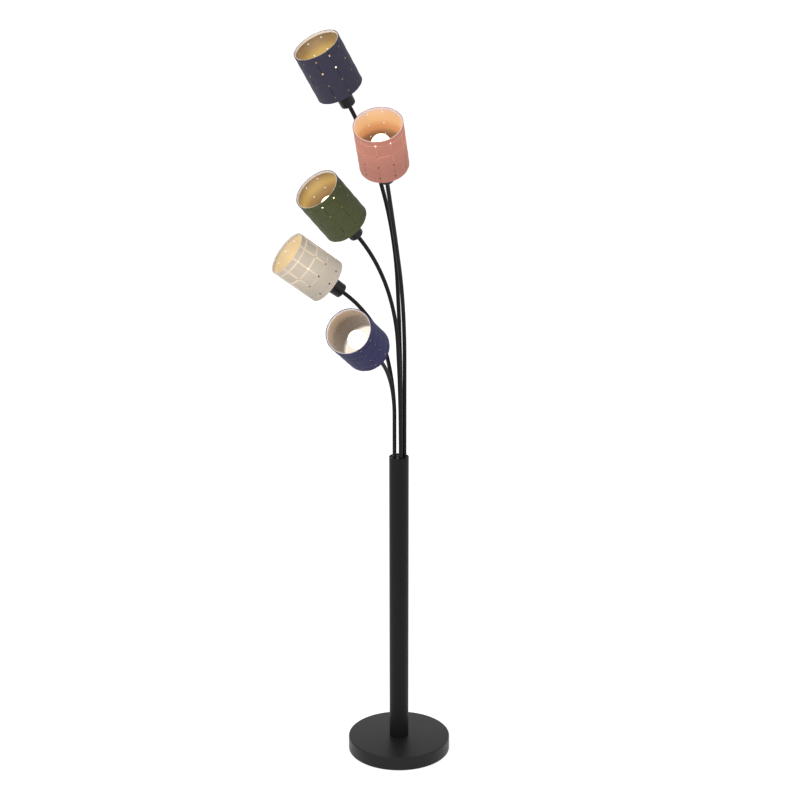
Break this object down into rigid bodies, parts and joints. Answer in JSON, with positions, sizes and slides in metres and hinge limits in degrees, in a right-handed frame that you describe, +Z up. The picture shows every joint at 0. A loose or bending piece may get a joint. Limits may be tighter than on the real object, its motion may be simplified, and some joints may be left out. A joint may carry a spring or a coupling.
{
  "type": "tree floor lamp",
  "caption": "Tree floor lamp: round weighted base, thick pole, and bent arms that swivel in the pole top, each with a woven cylindrical shade open upwards.",
  "frame": {"origin": "centre of the foot pad's underside, on the pole's axis", "axes": "+Z up along the pole, -Y towards the front, +X to the right seen from the front"},
  "size_m": [0.4399, 0.5045, 1.8915],
  "materials": {
    "pad": "matt foam",
    "casting": "rough casting",
    "black_coat": "satin black powder coat",
    "black_plastic": "matt moulded",
    "white_plastic": "moulded",
    "steel": "zinc plated",
    "bulb_glass": "opal",
    "bulb_cap": "bare",
    "blue_shell": "felt strips",
    "pink_shell": "felt strips",
    "green_shell": "felt strips",
    "white_shell": "felt strips",
    "navy_shell": "felt strips",
    "blue_liner": "translucent",
    "pink_liner": "translucent",
    "green_liner": "translucent",
    "white_liner": "translucent",
    "navy_liner": "translucent"
  },
  "bodies": {
    "stand": {"base_pad": "pad", "base_weight": "casting", "base_cover": "black_coat", "cable_outlet": "black_plastic", "tie_tube": "steel", "tie_washer": "steel", "tie_nut": "steel", "pole_plug": "steel", "pole_tube": "black_coat", "terminal_block": "white_plastic", "guide_plate": "steel", "top_plate": "black_coat", "arm_bushes": "black_plastic"},
    "blue_branch": {"blue_arm": "black_coat", "blue_collar": "steel", "blue_cup": "black_coat", "blue_holder": "black_plastic", "blue_ring": "black_plastic", "blue_shell": "blue_shell", "blue_liner": "blue_liner", "blue_globe": "bulb_glass", "blue_cap": "bulb_cap"},
    "pink_branch": {"pink_arm": "black_coat", "pink_collar": "steel", "pink_cup": "black_coat", "pink_holder": "black_plastic", "pink_ring": "black_plastic", "pink_shell": "pink_shell", "pink_liner": "pink_liner", "pink_globe": "bulb_glass", "pink_cap": "bulb_cap"},
    "green_branch": {"green_arm": "black_coat", "green_collar": "steel", "green_cup": "black_coat", "green_holder": "black_plastic", "green_ring": "black_plastic", "green_shell": "green_shell", "green_liner": "green_liner", "green_globe": "bulb_glass", "green_cap": "bulb_cap"},
    "white_branch": {"white_arm": "black_coat", "white_collar": "steel", "white_cup": "black_coat", "white_holder": "black_plastic", "white_ring": "black_plastic", "white_shell": "white_shell", "white_liner": "white_liner", "white_globe": "bulb_glass", "white_cap": "bulb_cap"},
    "navy_branch": {"navy_arm": "black_coat", "navy_collar": "steel", "navy_cup": "black_coat", "navy_holder": "black_plastic", "navy_ring": "black_plastic", "navy_shell": "navy_shell", "navy_liner": "navy_liner", "navy_globe": "bulb_glass", "navy_cap": "bulb_cap"}
  },
  "joints": [
    {"name": "blue_swivel", "type": "hinge", "parent": "stand", "child": "blue_branch", "pos_m": [0.00433, 0.01332, 0.816], "axis": [0, 0, 1], "range_deg": [-120, 120]},
    {"name": "pink_swivel", "type": "hinge", "parent": "stand", "child": "pink_branch", "pos_m": [0.014, 0, 0.816], "axis": [0, 0, 1], "range_deg": [-12, 120]},
    {"name": "green_swivel", "type": "hinge", "parent": "stand", "child": "green_branch", "pos_m": [0.00433, -0.01332, 0.816], "axis": [0, 0, 1], "range_deg": [-75, 14]},
    {"name": "white_swivel", "type": "hinge", "parent": "stand", "child": "white_branch", "pos_m": [-0.01133, 0.00823, 0.816], "axis": [0, 0, 1], "range_deg": [-95, 45]},
    {"name": "navy_swivel", "type": "hinge", "parent": "stand", "child": "navy_branch", "pos_m": [-0.01133, -0.00823, 0.816], "axis": [0, 0, 1], "range_deg": [-38, 22]}
  ]
}
